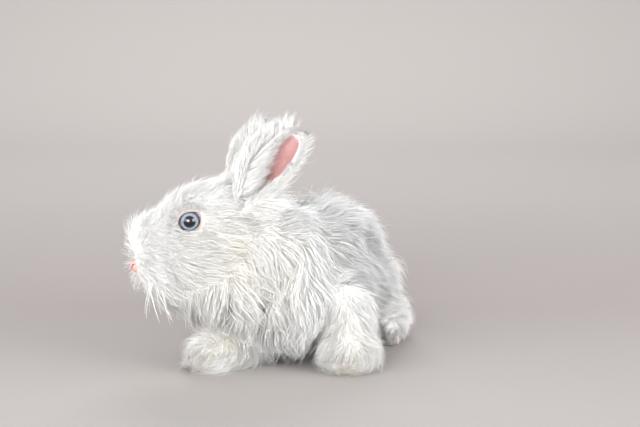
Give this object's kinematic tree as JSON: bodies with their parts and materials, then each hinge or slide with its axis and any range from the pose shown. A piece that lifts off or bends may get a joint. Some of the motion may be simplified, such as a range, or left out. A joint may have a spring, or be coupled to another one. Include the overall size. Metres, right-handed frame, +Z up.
{
  "type": "angora rabbit",
  "caption": "Young white angora rabbit, a still, life-size model crouching with its head turned to its right and long soft wool.",
  "frame": {"origin": "centre of the bounding box on the floor under the soles", "axes": "-Y towards the front of the body, +X towards the rabbit's left, +Z up"},
  "size_m": [0.1454, 0.2214, 0.1625],
  "materials": {
    "white_coat": "long, soft white wool",
    "cream_coat": "short to medium creamy white fur",
    "ear_skin": "thin pink skin with white fur outside",
    "eye": "wet, blue-grey iris with a dark pupil"
  },
  "bodies": {
    "root": {"head": "cream_coat", "neck": "white_coat", "torso": "white_coat", "tail": "white_coat", "foreleg_left": "cream_coat", "foreleg_right": "cream_coat", "hindleg_left": "cream_coat", "hindleg_right": "cream_coat", "ear_left": "ear_skin", "ear_right": "ear_skin", "eye_left": "eye", "eye_right": "eye"}
  },
  "joints": []
}
